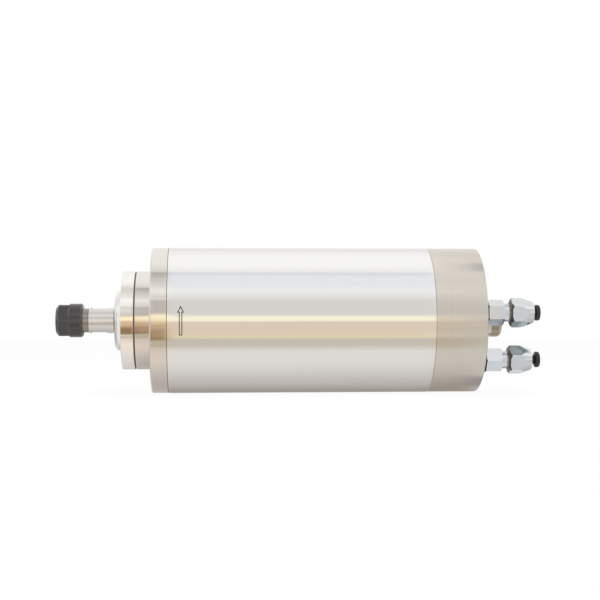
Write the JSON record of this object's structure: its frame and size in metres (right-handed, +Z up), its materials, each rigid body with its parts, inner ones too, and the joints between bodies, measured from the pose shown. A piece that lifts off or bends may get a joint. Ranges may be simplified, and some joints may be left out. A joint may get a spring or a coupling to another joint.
{
  "type": "motor spindle",
  "caption": "Water-cooled motor spindle: round clamp-on body, collet nose with hex nut, two plugged hose fittings and a round electrical socket at the rear.",
  "frame": {"origin": "on the spindle axis, at the middle of the tube's length", "axes": "+X along the spindle axis from the collet nose towards the rear cap; +Z up; the hose fittings are on -Y"},
  "size_m": [0.2631, 0.08, 0.08],
  "materials": {
    "polished_tube": "polished stainless steel",
    "nickel_front": "bright nickel plate on turned steel",
    "brushed_cap": "fine turned nickel plate",
    "polished_dome": "polished steel",
    "ground_steel": "ground steel",
    "bearing_steel": "ground bearing steel",
    "cage_polymer": "moulded phenolic",
    "black_oxide": "black oxide",
    "jacket_alloy": "milled aluminium",
    "lamination": "stacked electrical steel",
    "copper": "varnished copper wire",
    "rotor_alloy": "cast aluminium",
    "bright_fitting": "bright nickel plate on brass",
    "seal_rubber": "black rubber",
    "black_plastic": "black moulded plastic",
    "socket_metal": "nickel plate on brass",
    "socket_black": "black moulded plastic",
    "contact_gold": "gold plate",
    "screw_steel": "black screw steel",
    "spring_steel": "spring steel"
  },
  "bodies": {
    "housing": {"outer_tube": "polished_tube", "water_jacket": "jacket_alloy", "jacket_seals": "seal_rubber", "front_end_bell": "nickel_front", "front_bearing_cap": "nickel_front", "flange_screws": "screw_steel", "front_bearing_outer_rings": "bearing_steel", "outer_spacer": "ground_steel", "rear_bearing_housing": "jacket_alloy", "preload_spring": "spring_steel", "rear_bearing_outer_rings": "bearing_steel", "stator_core": "lamination", "stator_windings": "copper", "rear_cap": "brushed_cap", "rear_cap_screws": "screw_steel", "socket_shell": "socket_metal", "socket_gasket": "seal_rubber", "socket_nut": "socket_metal", "socket_insulator": "socket_black", "socket_pins": "contact_gold", "upper_seal_washer": "seal_rubber", "upper_fitting_body": "bright_fitting", "lower_seal_washer": "seal_rubber", "lower_fitting_body": "bright_fitting"},
    "rotor": {"spindle_shaft": "ground_steel", "dust_cap": "polished_dome", "rotor_core": "lamination", "rotor_end_rings": "rotor_alloy", "front_bearing_inner_rings": "bearing_steel", "inner_spacer": "ground_steel", "rear_bearing_inner_rings": "bearing_steel", "rear_lock_nut": "ground_steel"},
    "front_ball_set": {"front_bearing_balls": "bearing_steel", "front_bearing_cages": "cage_polymer"},
    "rear_ball_set": {"rear_bearing_balls": "bearing_steel", "rear_bearing_cages": "cage_polymer"},
    "collet_body": {"collet": "ground_steel"},
    "collet_nut_body": {"collet_nut": "black_oxide"},
    "upper_ferrule_body": {"upper_ferrule": "bright_fitting"},
    "upper_hose_nut": {"upper_fitting_nut": "bright_fitting"},
    "upper_plug": {"upper_dust_plug": "black_plastic"},
    "lower_ferrule_body": {"lower_ferrule": "bright_fitting"},
    "lower_hose_nut": {"lower_fitting_nut": "bright_fitting"},
    "lower_plug": {"lower_dust_plug": "black_plastic"}
  },
  "joints": [
    {"name": "spindle_spin", "type": "hinge", "parent": "housing", "child": "rotor", "pos_m": [0, 0, 0], "axis": [-1, 0, 0], "continuous": true},
    {"name": "front_ball_orbit", "type": "hinge", "parent": "housing", "child": "front_ball_set", "pos_m": [-0.0722, 0, 0], "axis": [-1, 0, 0], "continuous": true},
    {"name": "rear_ball_orbit", "type": "hinge", "parent": "housing", "child": "rear_ball_set", "pos_m": [0.057, 0, 0], "axis": [-1, 0, 0], "continuous": true},
    {"name": "collet_travel", "type": "slide", "parent": "rotor", "child": "collet_body", "axis": [-1, 0, 0], "range_m": [0, 0.008]},
    {"name": "collet_nut_turn", "type": "hinge", "parent": "collet_body", "child": "collet_nut_body", "pos_m": [-0.1253, 0, 0], "axis": [-1, 0, 0], "range_deg": [0, 3845]},
    {"name": "upper_ferrule_travel", "type": "slide", "parent": "housing", "child": "upper_ferrule_body", "axis": [1, 0, 0], "range_m": [0, 0.006]},
    {"name": "upper_nut_turn", "type": "hinge", "parent": "upper_ferrule_body", "child": "upper_hose_nut", "pos_m": [0.1188, -0.02873, 0.00394], "axis": [1, 0, 0], "range_deg": [0, 2165]},
    {"name": "upper_plug_pull", "type": "slide", "parent": "upper_ferrule_body", "child": "upper_plug", "axis": [1, 0, 0], "range_m": [0, 0.015]},
    {"name": "lower_ferrule_travel", "type": "slide", "parent": "housing", "child": "lower_ferrule_body", "axis": [1, 0, 0], "range_m": [0, 0.006]},
    {"name": "lower_nut_turn", "type": "hinge", "parent": "lower_ferrule_body", "child": "lower_hose_nut", "pos_m": [0.11975, -0.01937, -0.02159], "axis": [1, 0, 0], "range_deg": [0, 2165]},
    {"name": "lower_plug_pull", "type": "slide", "parent": "lower_ferrule_body", "child": "lower_plug", "axis": [1, 0, 0], "range_m": [0, 0.015]}
  ],
  "couplings": [
    {"joint": "front_ball_orbit", "follows": "spindle_spin", "ratio": 0.41481},
    {"joint": "rear_ball_orbit", "follows": "spindle_spin", "ratio": 0.40217},
    {"joint": "collet_nut_turn", "follows": "collet_travel", "rad_per_m": 8377.6},
    {"joint": "upper_nut_turn", "follows": "upper_ferrule_travel", "rad_per_m": 6283.2},
    {"joint": "lower_nut_turn", "follows": "lower_ferrule_travel", "rad_per_m": 6283.2}
  ]
}
